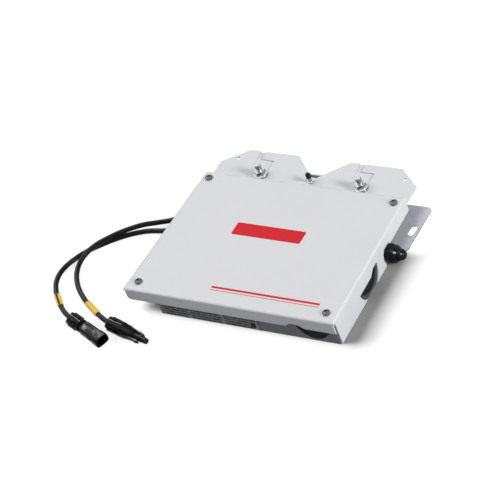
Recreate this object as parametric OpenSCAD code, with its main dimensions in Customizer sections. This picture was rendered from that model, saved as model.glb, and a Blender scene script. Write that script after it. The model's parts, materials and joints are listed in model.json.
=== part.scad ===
/* [Cover] */
// Distance between the left and right cover screws
screw_pitch_x = 260; // [240:5:320]
// Distance between the lower and upper cover screws
screw_pitch_y = 180; // [170:5:230]
// Panel beyond the screws at each side, measured at the lower edge
side_margin = 16; // [15:1:20]
// Panel beyond the lower screws
front_margin = 13.5; // [12:0.5:20]
// Panel beyond the upper screws
rear_margin = 12; // [11:0.5:20]
// How much each side draws in from the lower to the upper edge
side_taper = 5; // [0:1:8]
// Height of the panel face above the wall
cover_height = 36.5; // [34:0.5:50]
// Thickness of the cover sheet
cover_t = 1.5; // [1:0.1:2]
// Outer radius of the cover's bends
bend_r = 3; // [2.5:0.5:4]
// Height of the lip's lower edge above the wall
lip_z = 18.5; // [16:0.5:20]
// Gap between the upper lip's lower edge and the hanger plate
rear_lip_gap = 2; // [1:0.5:4]
// Width of the gap at each corner, between a lip and the side flange
corner_gap = 1.5; // [1:0.1:2.5]
// How far the ends of the lips stay inside the sides
lip_inset = 2; // [1:0.5:4]
// Clearance of the shield round the side cable entry
shield_clear = 1.8; // [1:0.1:4]

/* [Base tray] */
// Thickness of the galvanised sheet
tray_t = 1.5; // [1:0.1:2]
// Distance from the cover's inner face to the tray walls
wall_gap = 0.4; // [0.3:0.1:1]
// Distance from the cover's left edge to the tray's left wall
left_wall_inset = 43; // [38:1:55]
// Distance from the cover's upper edge to the tray's upper wall
rear_wall_inset = 14; // [12:1:20]
// Radius of the half-moon cable entries
entry_r = 23.2; // [18:0.2:24]
// Height of the lowest point of the half-moon entries
entry_low_z = 2.8; // [2.6:0.2:6]
// Distance from the cover's right edge to the middle of the front entry
front_entry_inset = 34; // [32:1:50]
// Position of the side entry, below the middle
side_entry_y = 17.5; // [10:0.5:24]
// How far the fixing ears reach beyond the cover's lower corners
ear_reach = 11; // [8:1:20]
// How far the fixing ears rise above the cover's upper edge
ear_rise = 21; // [12:1:24]
// Width of the slot in each fixing ear
ear_slot_w = 8.5; // [6.5:0.5:10]
// Length of the slot in each fixing ear
ear_slot_l = 16; // [12:1:24]

/* [Hanger] */
// Thickness of the hanger and the bracket sheet
hanger_t = 2; // [1.5:0.5:3]
// Height of the hanger plate's face above the wall
hanger_z = 26.5; // [24:0.5:27]
// Distance from the cover's lower corners to the sides of the hanger plate
hanger_inset = 7.5; // [7:0.5:12]
// How far the hanger plate rises above the cover's upper edge
hanger_rise = 53.7; // [50:0.1:70]
// Depth of the V notch in the upper edge
vee_depth = 32.7; // [20:0.1:34]
// Distance between the two hanging studs
stud_pitch = 142; // [130:1:150]
// Distance from the cover's upper edge to the hanging studs
stud_rise = 13.5; // [12.5:0.5:18]
// Diameter of the hanging studs
stud_d = 8; // [6:0.1:8]
// Height of the hanging studs above the hanger plate
stud_height = 19.5; // [16:0.5:25]
// Play of a stud in the entrance of its keyed slot
slot_play = 0.3; // [0.2:0.1:1]
// Sideways step of a keyed slot
slot_step = 22.2; // [20:0.1:26]

/* [Cable entries] */
// Width across flats of the side gland
side_gland_af = 22; // [20:1:24]
// Position of the side gland above the middle
side_gland_y = 33.8; // [32:0.2:36]
// Height of the side gland's lowest flat above the wall
side_gland_lift = 1.2; // [1:0.1:3]
// Width across flats of the two cable glands
cable_gland_af = 19; // [17:1:20]
// Height of the cable glands' axes
cable_gland_z = 13; // [12.5:0.5:16]
// Positions of the two cable glands above the middle
cable_gland_y = [22, 46];
// Diameter of the solar cables
cable_d = 6.5; // [5:0.1:6.6]

/* [Circuit board] */
// Size of the circuit board
board_size = [150, 116, 1.6];
// Middle of the circuit board
board_at = [8, 2];
// Height of the standoffs
standoff_h = 6; // [4:0.5:10]

/* [Hidden] */
$fn = 48;

// Thin overlap where a cut or a fused piece passes a face, and the reach of an endless cut
eps = 0.02;
big = 400;
// Clearance of a piece in its bore, and of a thread or rivet in its hole
fit = 0.1;
snug = 0.05;

front_y = -(screw_pitch_y / 2 + front_margin);
rear_y = screw_pitch_y / 2 + rear_margin;
front_half = screw_pitch_x / 2 + side_margin;
taper_angle = atan(side_taper / (rear_y - front_y));
inner_face_z = cover_height - cover_t;
rear_lip_z = hanger_z + rear_lip_gap;
cover_low_z = 0.8;

// Half of the cover's width at a given y
function side_x(y) = front_half - (y - front_y) * tan(taper_angle);
// Outer face of the tray's right wall at a given y
function wall_x(y) = side_x(y) - (cover_t + wall_gap) / cos(taper_angle);

screw_places = [for (sx = [-1, 1], sy = [-1, 1]) [sx * screw_pitch_x / 2, sy * screw_pitch_y / 2]];
screw_r = 2.4;
screw_head_r = 4.75;
screw_head_h = 2.8;
washer_h = 1;
gasket_t = 2;
gasket_w = 6;
rivet_nut_r = 3.5;
rivet_nut_flange_r = 5;
rivet_nut_flange_t = 0.8;
rivet_nut_h = 11;
rim_t = 1.5;
rim_w = 8;
rim_play = 1;
rim_top_z = inner_face_z - gasket_t;
tray_top_z = rim_top_z - rim_t;

left_wall_x = front_half - left_wall_inset;
wall_front_y = front_y + cover_t + wall_gap;
rear_wall_y = rear_y - rear_wall_inset;
step_x = front_half - 24;
step_y = side_gland_y + 16.2;
ear_x = front_half + ear_reach;
ear_y = rear_y + ear_rise;
ear_slot_at = [ear_x - 8.5, ear_y - 40];
ear_corner_r = 6;
ear_overlap = 4;
// Edges of the opening in the rim: left, right, lower and upper
opening = [-left_wall_x + rim_w, screw_pitch_x / 2 - 12, wall_front_y + rim_w, rear_wall_y - rim_w];

front_entry_x = front_half - front_entry_inset;
entry_z = entry_low_z + entry_r;
skirt = 1;
skirt_t = 2;
ring_w = 1.2;
ring_deep = 0.5;
entry_rings = [for (i = [0:3]) entry_r - 3.2 - 4.5 * i];
// The lifting notch in the front lip, measured to the left from the middle of the front entry
lip_notch = [35.5, 29, 19, 9.5];
lip_notch_h = 5;
lip_corner_r = 5;
// The step in the top of the shield's opening, measured upwards from the middle of the side entry
shield_step = [6, 15, 26.5];
shield_step_h = 6;
shield_band = 1;
shield_drop = 4;

gland_z = side_gland_af / 2 + side_gland_lift;
gland_thread_r = side_gland_af / 2 - 3;
gland_bore_r = gland_thread_r - 2.5;
gland_neck_r = gland_thread_r + 1.3;
gland_inside = 8;
seal_ring_t = 1;
gland_neck_out = 3.5;
gland_hex_t = 5.5;
gland_nut_out = gland_neck_out + gland_hex_t;
gland_nut_flat = 4;
gland_nut_h = 7.5;
gland_head_out = gland_nut_out + gland_nut_h;
gland_gap = 0.5;
shield_end_y = side_gland_y - gland_neck_r - gland_gap;

cable_thread_r = cable_gland_af / 2 - 1.5;
cable_bore_r = cable_d / 2 + fit;
cable_gland_inside = 8;
cable_gland_hex_t = 5;
cable_gland_thread = 12;
cable_nut_flat = 9;
cable_nut_h = 17;
cable_seal_r = cable_bore_r + 2.15;
cable_seal_h = 6;
locknut_t = 4.5;

hanger_x = front_half - hanger_inset;
hanger_y = rear_y + hanger_rise;
hanger_corner = [30.5, 25.7];
hanger_side_y = rear_y - 4;
hanger_bend_r = hanger_t + 1;
hanger_from_y = rear_wall_y + hanger_bend_r;
hanger_flange_x = left_wall_x - 6;
flange_low_z = 6;
vee_bottom = 4;
rivet_x = [-hanger_flange_x + 7, -30, 30, hanger_flange_x - 7];
rivet_z = 15;
rivet_r = 2.4;
rivet_head_r = 4.5;
rivet_head_h = 1.4;
stud_y = rear_y + stud_rise;
slot_entry_w = stud_d + slot_play;
slot_r = stud_d / 2 + 0.6;
slot_chamber = [14.5, 27];
small_hole_at = [hanger_x - 20.5, hanger_y - 16.7];
small_hole_r = 2.5;

bracket_z = hanger_z - hanger_t;
bracket_x = left_wall_x - ear_overlap - 2;
pad_x = [stud_pitch / 2 - 24, stud_pitch / 2 + 33];
pad_y = [stud_y - 11.5, hanger_y - 0.2];
web_y = stud_y + 15.5;
bracket_hole_x = [30, bracket_x - 12];
bracket_hole_y = stud_y - 1.5;
bracket_hole_r = 4.5;
stud_top_z = hanger_z + stud_height;
stud_chamfer = 1;
stud_head_h = 2.5;
stud_washer_t = 1.5;
stud_washer_r = stud_d / 2 + 4.5;
stud_nut_af = stud_d + 5;
stud_nut_h = 8;
earth_at = [0, stud_y - 0.5];
earth_r = 2.5;
earth_top_z = hanger_z + 12;
cap_h = 6;
cap_wall = 0.7;

board_z = tray_t + standoff_h;
board_top_z = board_z + board_size.z;
board_inset = 6;
board_holes = [for (sx = [-1, 1], sy = [-1, 1])
    [board_at.x + sx * (board_size.x / 2 - board_inset), board_at.y + sy * (board_size.y / 2 - board_inset)]];
board_hole_r = 1.6;
board_screw_r = 1.4;
terminal_size = [14, 16];
terminal_ledge = [3, 12];
terminal_x = board_at.x - board_size.x / 2 + 9.5;
relay_size = [29, 12.7, 15.7];
relay_pitch = 17;
capacitor_r = 8;
capacitor_h = 18;

// Connectors: lengths and radii along the axis, from the rear of the coupling nut
coupling_h = 19;
coupling_r = 8.3;
coupling_rib_r = 9.3;
coupling_seat = 8;
seat_r = 6;
crimp_from = 25;
contact_r = 2.55;
socket_length = 67;
plug_length = 67.5;
connector_z = 9.6;

// Routes of the two cables, measured from the left wall and their own gland's axis. They start
// inside the gland and end at the rear of the connector
outer_points = [
    [-5, 0, cable_gland_z], [-22, 0, cable_gland_z], [-37, 0.8, 11.4], [-54, 1.6, 6.5], [-71, 0.6, 3.4],
    [-89, -2.6, 3.3], [-105, -9, 3.3], [-119, -17.4, 3.3], [-131, -26.6, 3.3], [-142, -36.6, 3.3],
    [-153, -48, 3.3], [-162, -61, 3.3], [-169, -77, 3.3], [-171, -92, 3.3], [-168, -106, 3.3],
    [-161.5, -117.5, 3.3], [-154, -126.8, 3.3], [-137.5, -143, 3.7], [-129, -150, 5.6],
    [-119.5, -156.6, 8.2], [-108.6, -162.3, connector_z]];
inner_points = [
    [-5, 0, cable_gland_z], [-22, 0, cable_gland_z], [-37, 0.4, 11.6], [-53, -1.6, 8], [-69, -7.4, 6],
    [-83, -14, 6.6], [-97, -22, 8.6], [-110, -32, 9.9], [-123, -43, 10], [-133, -54, 10],
    [-142, -66, 10], [-149, -79, 8.4], [-152.5, -91, 5.6], [-151.5, -103, 3.7], [-144.5, -118, 3.3],
    [-132, -133.5, 3.3], [-118, -145.8, 3.3], [-105.5, -154.6, 3.3], [-78.5, -170.6, 5.4],
    [-67, -177.2, 8], [-54, -183.1, connector_z]];
socket_turn = -22;
plug_turn = -15;
outer_sleeve = [16, 17];
inner_sleeve = [17, 18];
sleeve_t = 0.8;

function at_gland(points, y) = [for (p = points) [p.x - left_wall_x, p.y + y, p.z]];
function into_connector(route, turn) =
    concat(route, [route[len(route) - 1] + (crimp_from - 3) * [cos(turn), sin(turn), 0]]);
function connector_at(points, y, turn) =
    let (end = at_gland(points, y)[len(points) - 1]) [end.x, end.y, end.z, turn];

outer_route = into_connector(at_gland(outer_points, cable_gland_y[0]), socket_turn);
inner_route = into_connector(at_gland(inner_points, cable_gland_y[1]), plug_turn);
socket_at = connector_at(outer_points, cable_gland_y[0], socket_turn);
plug_at = connector_at(inner_points, cable_gland_y[1], plug_turn);

// Places children on the right wall, with their z axis pointing out of it
module on_side_wall(y, z, out = 0) {
    translate([wall_x(y), y, z]) rotate([0, 0, taper_angle]) translate([out, 0, 0])
        rotate([0, 90, 0]) children();
}

// Places children on the left wall, with their z axis pointing out of it
module on_left_wall(y, out = 0) {
    translate([-left_wall_x - out, y, cable_gland_z]) rotate([0, -90, 0]) children();
}

// Places children on a connector's axis, with their z axis pointing to its mouth and y upright
module on_connector(at) {
    translate([at.x, at.y, at.z]) rotate([0, 0, at[3]]) rotate([0, 90, 0]) rotate([0, 0, 90]) children();
}

module on_screws(z) {
    for (p = screw_places) translate([p.x, p.y, z]) children();
}

module on_studs(z) {
    for (s = [-1, 1]) translate([s * stud_pitch / 2, stud_y, z]) children();
}

module on_cable_glands(out = 0) {
    for (y = cable_gland_y) on_left_wall(y, out) children();
}

module tube(r, bore, h) {
    difference() {
        cylinder(r = r, h = h);
        translate([0, 0, -1]) cylinder(r = bore, h = h + 2);
    }
}

module hexagon(af, h) {
    rotate(30) cylinder(r = af / 2 / cos(30), h = h, $fn = 6);
}

// A hexagon whose corners are rounded off to a given radius
module worn_hexagon(af, h, r) {
    intersection() {
        hexagon(af, h);
        cylinder(r = r, h = h);
    }
}

// A rectangle with round corners about the origin
module soft_rectangle(w, l, r) {
    square([w - 2 * r, l], center = true);
    square([w, l - 2 * r], center = true);
    for (sx = [-1, 1], sy = [-1, 1]) translate([sx * (w / 2 - r), sy * (l / 2 - r)]) circle(r);
}

module obround(w, l) {
    square([w, l - w], center = true);
    for (s = [-1, 1]) translate([0, s * (l - w) / 2]) circle(w / 2);
}

// An upright profile with one rounded shoulder, lying below and left of its corner
module shoulder(r, w, h) {
    translate([-w, -h]) square([w - r, h]);
    translate([-w, -h]) square([w, h - r]);
    translate([-r, -r]) circle(r);
}

// One side of the folded cover's block: an endless bar with a rounded upper edge
module cover_side(r, h) {
    rotate([90, 0, 90]) linear_extrude(big, center = true) shoulder(r, big, h);
}

// The block that the folded cover would fill, drawn in by a given inset
module cover_block(inset, low_z) {
    r = max(bend_r - inset, 0.5);
    z = cover_height - inset;
    h = z - low_z;
    side = side_x(0) - inset / cos(taper_angle);
    intersection() {
        translate([0, rear_y - inset, z]) cover_side(r, h);
        translate([0, front_y + inset, z]) rotate(180) cover_side(r, h);
        translate([side, 0, z]) rotate(taper_angle - 90) cover_side(r, h);
        translate([-side, 0, z]) rotate(90 - taper_angle) cover_side(r, h);
    }
}

// Lower parts of the four sides that are cut away to form the lips
module lip_cuts() {
    front_end = front_y + cover_t + corner_gap;
    rear_end = rear_y - cover_t - corner_gap;
    translate([-big / 2, front_y - 5, -5]) cube([big, front_end - front_y + 5, lip_z + 5]);
    translate([-big / 2, front_y - 5, -5]) cube([big / 2, big, lip_z + 5]);
    translate([-big / 2, rear_end, -5]) cube([big, 10, rear_lip_z + 5]);
    translate([0, shield_end_y, -5]) cube([big / 2, big, lip_z + 5]);
}

// Gaps at the four corners, between the ends of the lips and the side flanges
module corner_gaps() {
    depth = cover_t + corner_gap + 1;
    for (s = [0, 1], y = [front_y - 1, rear_y + 1 - depth]) mirror([s, 0, 0])
        translate([side_x(y) - lip_inset, y, -5]) cube([20, depth, cover_height - bend_r + 5]);
}

// Rounds the free lower corner at the left end of the front lip
module lip_corner_cut() {
    r = lip_corner_r;
    translate([lip_inset - side_x(front_y) - 1, front_y - 1, lip_z - 1]) difference() {
        cube([r + 1, cover_t + 2, r + 1]);
        translate([r + 1, -1, r + 1]) rotate([-90, 0, 0]) cylinder(r = r, h = cover_t + 4);
    }
}

// Shallow notch in the front lip for lifting the cover
module lip_notch_cut() {
    low = lip_z - 5;
    high = lip_z + lip_notch_h;
    x = [for (d = lip_notch) front_entry_x - d];
    translate([0, front_y + cover_t + 1, 0]) rotate([90, 0, 0]) linear_extrude(cover_t + 2)
        polygon([[x[0], low], [x[0], lip_z], [x[1], high], [x[2], high], [x[3], lip_z], [x[3], low]]);
}

// Opening in the shield over the side cable entry: an arc under a stepped top edge
module shield_cut() {
    low = lip_z - shield_band;
    high = low + shield_step_h;
    on_side_wall(-side_entry_y, 0, -3) linear_extrude(10) mirror([1, 0]) intersection() {
        translate([entry_z - shield_drop, 0]) circle(entry_r + shield_clear);
        polygon([[-5, -big], [low, -big], [low, shield_step[0]], [high, shield_step[1]],
            [high, shield_step[2]], [low, big], [-5, big]]);
    }
}

module cover() {
    color("white") difference() {
        cover_block(0, cover_low_z);
        cover_block(cover_t, -5);
        lip_cuts();
        corner_gaps();
        lip_corner_cut();
        lip_notch_cut();
        shield_cut();
        on_side_wall(side_gland_y, gland_z, -5) cylinder(r = gland_neck_r + gland_gap, h = 15);
        on_screws(0) cylinder(r = screw_r + 0.35, h = big / 2);
    }
}

module cover_screws() {
    head_z = cover_height + washer_h;
    socket_r = 1.9;
    socket_deep = 1.7;
    thread = 9;
    color("dimgray") on_screws(0) difference() {
        union() {
            translate([0, 0, rim_top_z - thread])
                cylinder(r = screw_r, h = head_z - rim_top_z + thread + eps);
            translate([0, 0, head_z]) rotate_extrude() intersection() {
                square([screw_head_r, screw_head_h]);
                translate([0, -3]) circle(screw_head_r + 1.4);
            }
        }
        translate([0, 0, head_z + screw_head_h - socket_deep]) cylinder(r = socket_r, h = 3, $fn = 6);
    }
}

module cover_washers() {
    color("gainsboro") on_screws(cover_height) tube(screw_head_r + 1.25, screw_r + 0.2, washer_h);
}

module cover_spacers() {
    h = gasket_t - rivet_nut_flange_t;
    color("silver") on_screws(inner_face_z - h) tube(rivet_nut_flange_r, screw_r + 0.2, h);
}

module rivet_nuts() {
    color("goldenrod") on_screws(rim_top_z - rivet_nut_h + rivet_nut_flange_t) difference() {
        union() {
            cylinder(r = rivet_nut_r, h = rivet_nut_h);
            translate([0, 0, rivet_nut_h - rivet_nut_flange_t])
                cylinder(r = rivet_nut_flange_r, h = rivet_nut_flange_t);
        }
        translate([0, 0, -1]) cylinder(r = screw_r + snug, h = rivet_nut_h + 2);
    }
}

module opening_block(grow, h) {
    translate([opening[0] - grow, opening[2] - grow, 0])
        cube([opening[1] - opening[0] + 2 * grow, opening[3] - opening[2] + 2 * grow, h]);
}

module cover_gasket() {
    color("black") translate([0, 0, rim_top_z]) difference() {
        opening_block(gasket_w, gasket_t);
        translate([0, 0, -1]) opening_block(eps, gasket_t + 2);
    }
}

// Flat frame welded on the tray walls; it carries the gasket and the rivet nuts
module rim_frame() {
    end_y = rear_y - cover_t - rim_play;
    front_x = wall_x(wall_front_y);
    end_x = wall_x(end_y);
    color("silver") translate([0, 0, tray_top_z]) difference() {
        linear_extrude(rim_t) polygon([[rim_play - front_x, wall_front_y], [front_x, wall_front_y],
            [end_x, end_y], [rim_play - end_x, end_y]]);
        translate([0, 0, -1]) opening_block(0, rim_t + 2);
        on_screws(-1) cylinder(r = rivet_nut_r + snug, h = rim_t + 2);
    }
}

function tray_outline(inset) = [
    [-left_wall_x + inset, wall_front_y + inset], [wall_x(wall_front_y) - inset, wall_front_y + inset],
    [wall_x(step_y - inset) - inset, step_y - inset], [step_x - inset, step_y - inset],
    [step_x - inset, rear_wall_y - inset], [-left_wall_x + inset, rear_wall_y - inset]];

// Flat ear with a slot, at the right or mirrored to the left
module tray_ear(from_x) {
    r = ear_corner_r;
    difference() {
        linear_extrude(tray_t) {
            translate([from_x, step_y]) square([ear_x - r - from_x, ear_y - step_y]);
            translate([from_x, step_y + r]) square([ear_x - from_x, ear_y - step_y - 2 * r]);
            for (y = [step_y + r, ear_y - r]) translate([ear_x - r, y]) circle(r);
        }
        translate([ear_slot_at.x, ear_slot_at.y, -1]) linear_extrude(tray_t + 2)
            obround(ear_slot_w, ear_slot_l);
    }
}

// Upright half-moon outline, open at the top
module moon(r, top_z) {
    intersection() {
        translate([0, entry_z]) circle(r);
        translate([-r, entry_z - r]) square([2 * r, r]);
    }
    translate([-r, entry_z]) square([2 * r, top_z - entry_z]);
}

module front_entry(r, y, t, top_z) {
    translate([front_entry_x, y + t, 0]) rotate([90, 0, 0]) linear_extrude(t) moon(r, top_z);
}

module side_entry(r, out, t, top_z) {
    on_side_wall(-side_entry_y, 0, out) linear_extrude(t) rotate(90) moon(r, top_z);
}

module rivet_holes(from_y, h) {
    for (x = rivet_x) translate([x, from_y, rivet_z]) rotate([-90, 0, 0]) cylinder(r = rivet_r + snug, h = h);
}

module base_tray() {
    color("lightslategray") difference() {
        union() {
            linear_extrude(tray_top_z) polygon(tray_outline(0));
            tray_ear(step_x - ear_overlap);
            mirror([1, 0, 0]) tray_ear(left_wall_x - ear_overlap);
        }
        translate([0, 0, tray_t]) linear_extrude(big / 2) polygon(tray_outline(tray_t));
        front_entry(entry_r, wall_front_y - 1, tray_t + 2, tray_top_z + 1);
        side_entry(entry_r, -tray_t - 1, tray_t + 2, tray_top_z + 1);
        on_side_wall(side_gland_y, gland_z, -tray_t - 1) cylinder(r = gland_thread_r + fit, h = tray_t + 2);
        on_cable_glands(-tray_t - 1) cylinder(r = cable_thread_r + fit, h = tray_t + 2);
        rivet_holes(rear_wall_y - tray_t - 1, tray_t + 2);
    }
}

// Half-moon rubber closure: the plug fills the notch, the skirt lies inside the wall
module front_grommet() {
    color("black") difference() {
        union() {
            front_entry(entry_r - fit, wall_front_y, tray_t + eps, tray_top_z);
            front_entry(entry_r + skirt, wall_front_y + tray_t, skirt_t, tray_top_z);
        }
        for (r = entry_rings) translate([front_entry_x, wall_front_y - 1, entry_z]) rotate([-90, 0, 0])
            tube(r, r - ring_w, 1 + ring_deep);
    }
}

module side_grommet() {
    color("black") difference() {
        union() {
            side_entry(entry_r - fit, -tray_t - eps, tray_t + eps, tray_top_z);
            side_entry(entry_r + skirt, -tray_t - skirt_t, skirt_t, tray_top_z);
        }
        for (r = entry_rings) on_side_wall(-side_entry_y, entry_z, -ring_deep)
            tube(r, r - ring_w, 1 + ring_deep);
    }
}

module vee() {
    half = vee_bottom + vee_depth + 5;
    polygon([[-half, hanger_y + 5], [-vee_bottom, hanger_y - vee_depth],
        [vee_bottom, hanger_y - vee_depth], [half, hanger_y + 5]]);
}

// Keyed slot: it drops over the stud at its entrance, shifts sideways and seats
module keyed_slot() {
    left = -slot_step;
    mouth = left + slot_entry_w;
    top = hanger_y - stud_y + 5;
    polygon([[left, top], [mouth, top], [mouth, slot_chamber[1]], [slot_r, slot_chamber[1]],
        [slot_r, 0], [-slot_r, 0], [-slot_r, slot_chamber[0]], [left, slot_chamber[0]]]);
    circle(slot_r);
}

// Half of the plate's outline: narrow between the rivets, wide above them, with a cut corner
module hanger_half() {
    polygon([[0, hanger_from_y], [hanger_flange_x, hanger_from_y], [hanger_flange_x, hanger_side_y],
        [hanger_x, hanger_side_y], [hanger_x, hanger_y - hanger_corner.y],
        [hanger_x - hanger_corner.x, hanger_y], [0, hanger_y]]);
}

module hanger_plate() {
    color("white") difference() {
        union() {
            translate([0, 0, hanger_z - hanger_t]) linear_extrude(hanger_t) difference() {
                for (s = [0, 1]) mirror([s, 0]) hanger_half();
                vee();
                for (s = [-1, 1]) {
                    translate([s * stud_pitch / 2, stud_y]) keyed_slot();
                    translate([s * small_hole_at.x, small_hole_at.y]) circle(small_hole_r);
                }
            }
            hanger_flange();
        }
        rivet_holes(rear_wall_y - 1, hanger_t + 4);
    }
}

// Folded flange that lies on the tray's upper wall, with its bend
module hanger_flange() {
    bend_z = hanger_z - hanger_bend_r;
    rotate([90, 0, 90]) linear_extrude(2 * hanger_flange_x, center = true) {
        translate([rear_wall_y, flange_low_z]) square([hanger_t, bend_z - flange_low_z]);
        translate([hanger_from_y, bend_z]) intersection() {
            difference() {
                circle(hanger_bend_r);
                circle(hanger_bend_r - hanger_t);
            }
            translate([-hanger_bend_r, 0]) square(hanger_bend_r);
        }
    }
}

module hanger_rivets() {
    grip = tray_t + hanger_t;
    color("silver") for (x = rivet_x) translate([x, rear_wall_y - tray_t, rivet_z]) rotate([-90, 0, 0]) {
        cylinder(r = rivet_r, h = grip);
        translate([0, 0, -rivet_head_h]) cylinder(r = rivet_head_r - 0.5, h = rivet_head_h);
        translate([0, 0, grip]) cylinder(r = rivet_head_r, h = rivet_head_h);
    }
}

// Welded bracket on the wall: foot, upright web and two pads for the hanger
module rail_bracket() {
    pad = [pad_x[1] - pad_x[0], pad_y[1] - pad_y[0], hanger_t];
    color("white") difference() {
        union() {
            translate([-bracket_x, pad_y[0], 0]) cube([2 * bracket_x, web_y - pad_y[0], hanger_t]);
            translate([-bracket_x, web_y, 0]) cube([2 * bracket_x, hanger_t, bracket_z - hanger_t]);
            for (s = [0, 1]) mirror([s, 0, 0])
                translate([pad_x[0], pad_y[0], bracket_z - hanger_t]) cube(pad);
        }
        on_studs(bracket_z - hanger_t - 1) cylinder(r = stud_d / 2 + snug, h = hanger_t + 2);
        for (s = [-1, 1], x = bracket_hole_x) translate([s * x, bracket_hole_y, -1])
            cylinder(r = bracket_hole_r, h = hanger_t + 2);
    }
}

module hanging_studs() {
    head_z = bracket_z - hanger_t;
    r = stud_d / 2;
    color("silver") on_studs(0) {
        translate([0, 0, head_z - stud_head_h]) cylinder(r = r + 2, h = stud_head_h);
        translate([0, 0, head_z]) cylinder(r = r, h = stud_top_z - head_z - stud_chamfer);
        translate([0, 0, stud_top_z - stud_chamfer])
            cylinder(r1 = r, r2 = r - stud_chamfer, h = stud_chamfer);
    }
}

module stud_washers() {
    color("gainsboro") on_studs(hanger_z) tube(stud_washer_r, stud_d / 2 + 0.3, stud_washer_t);
}

// Flanged hexagon nuts
module stud_nuts() {
    flange_h = 1.5;
    color("gainsboro") on_studs(hanger_z + stud_washer_t) difference() {
        union() {
            cylinder(r = stud_washer_r, h = flange_h);
            translate([0, 0, flange_h])
                cylinder(r1 = stud_washer_r - 0.6, r2 = stud_nut_af / 2, h = flange_h);
            worn_hexagon(stud_nut_af, stud_nut_h, stud_nut_af / 2 + 0.8);
        }
        translate([0, 0, -1]) cylinder(r = stud_d / 2 + snug, h = stud_nut_h + 2);
    }
}

module earth_stud() {
    foot_h = 1.5;
    color("silver") translate([earth_at.x, earth_at.y, hanger_z]) {
        cylinder(r = earth_r + 1, h = foot_h);
        cylinder(r = earth_r, h = earth_top_z - hanger_z);
    }
}

module earth_cap() {
    r = earth_r + cap_wall;
    sleeve = cap_h - 2;
    color("black") translate([earth_at.x, earth_at.y, earth_top_z - sleeve]) difference() {
        union() {
            cylinder(r = r, h = sleeve);
            translate([0, 0, sleeve]) sphere(r);
        }
        translate([0, 0, -5]) cylinder(r = earth_r + eps, h = sleeve + 5);
    }
}

module gland_seal_ring() {
    color("black") on_side_wall(side_gland_y, gland_z)
        tube(gland_neck_r - 0.2, gland_thread_r + fit, seal_ring_t);
}

module gland_body() {
    from = -tray_t - gland_inside;
    color("dimgray") on_side_wall(side_gland_y, gland_z) difference() {
        union() {
            translate([0, 0, from]) cylinder(r = gland_thread_r, h = gland_nut_out + 5 - from);
            translate([0, 0, seal_ring_t]) cylinder(r = gland_neck_r, h = gland_neck_out - seal_ring_t + eps);
            translate([0, 0, gland_neck_out])
                worn_hexagon(side_gland_af, gland_hex_t, side_gland_af / 2 + 0.9);
        }
        translate([0, 0, from - 1]) cylinder(r = gland_bore_r, h = big / 4);
    }
}

module gland_cone() {
    color("black") on_side_wall(side_gland_y, gland_z, gland_nut_out + 5)
        tube(gland_bore_r + 1, gland_bore_r - 1, 1);
}

module gland_nut() {
    af = side_gland_af - 1;
    color("dimgray") on_side_wall(side_gland_y, gland_z, gland_nut_out) difference() {
        union() {
            worn_hexagon(af, gland_nut_flat, af / 2 + 0.6);
            translate([0, 0, gland_nut_flat - eps])
                cylinder(r1 = af / 2 - 0.6, r2 = gland_neck_r - 0.8, h = gland_nut_h - gland_nut_flat + eps);
        }
        translate([0, 0, -1]) cylinder(r = gland_thread_r + snug, h = 6 + snug);
        translate([0, 0, 4]) cylinder(r = gland_bore_r + 1 + snug, h = 2 + snug);
        cylinder(r = gland_bore_r, h = gland_nut_h + 1);
    }
}

// Sealing plug in place of a cable, with a domed head
module gland_plug() {
    stem_r = gland_bore_r - 1 - snug;
    head_r = gland_bore_r + 1.6;
    dome_out = gland_head_out + 2.4;
    color("dimgray") on_side_wall(side_gland_y, gland_z) {
        translate([0, 0, gland_nut_out]) cylinder(r = stem_r, h = gland_nut_h + eps);
        translate([0, 0, gland_head_out]) cylinder(r = head_r, h = dome_out - gland_head_out);
        translate([0, 0, dome_out]) intersection() {
            sphere(head_r);
            cylinder(r = big, h = big);
        }
    }
}

module gland_locknut() {
    color("dimgray") on_side_wall(side_gland_y, gland_z, -tray_t - locknut_t) difference() {
        hexagon(side_gland_af - 2, locknut_t);
        translate([0, 0, -1]) cylinder(r = gland_thread_r + snug, h = locknut_t + 2);
    }
}

module cable_gland_bodies() {
    from = -tray_t - cable_gland_inside;
    seat = cable_gland_hex_t + 1;
    color("black") on_cable_glands() difference() {
        union() {
            translate([0, 0, from]) cylinder(r = cable_thread_r, h = cable_gland_thread - from);
            worn_hexagon(cable_gland_af, cable_gland_hex_t, cable_gland_af / 2 + 0.8);
        }
        translate([0, 0, from - 1]) cylinder(r = cable_bore_r, h = seat + 2 - from);
        translate([0, 0, seat]) cylinder(r = cable_seal_r + snug, h = cable_gland_thread);
    }
}

// Cap nuts: a hexagon with a tapered end that closes round the cable
module cable_gland_nuts() {
    thread = cable_gland_thread - cable_gland_hex_t;
    end_r = cable_gland_af / 2 - 3.5;
    color("black") on_cable_glands(cable_gland_hex_t) difference() {
        union() {
            worn_hexagon(cable_gland_af, cable_nut_flat, cable_gland_af / 2 + 0.5);
            translate([0, 0, cable_nut_flat - eps])
                cylinder(r1 = cable_gland_af / 2 - 0.6, r2 = end_r, h = cable_nut_h - cable_nut_flat + eps);
        }
        translate([0, 0, -1]) cylinder(r = cable_thread_r + snug, h = thread + 1);
        translate([0, 0, thread]) cylinder(r1 = cable_thread_r + snug, r2 = cable_bore_r + 0.5, h = thread);
        cylinder(r = cable_bore_r, h = cable_nut_h + 1);
    }
}

module cable_gland_seals() {
    color("dimgray") on_cable_glands(cable_gland_hex_t + 1) tube(cable_seal_r, cable_bore_r, cable_seal_h);
}

module cable_gland_locknuts() {
    color("black") on_cable_glands(-tray_t - locknut_t) difference() {
        hexagon(cable_gland_af, locknut_t);
        translate([0, 0, -1]) cylinder(r = cable_thread_r + snug, h = locknut_t + 2);
    }
}

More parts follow.
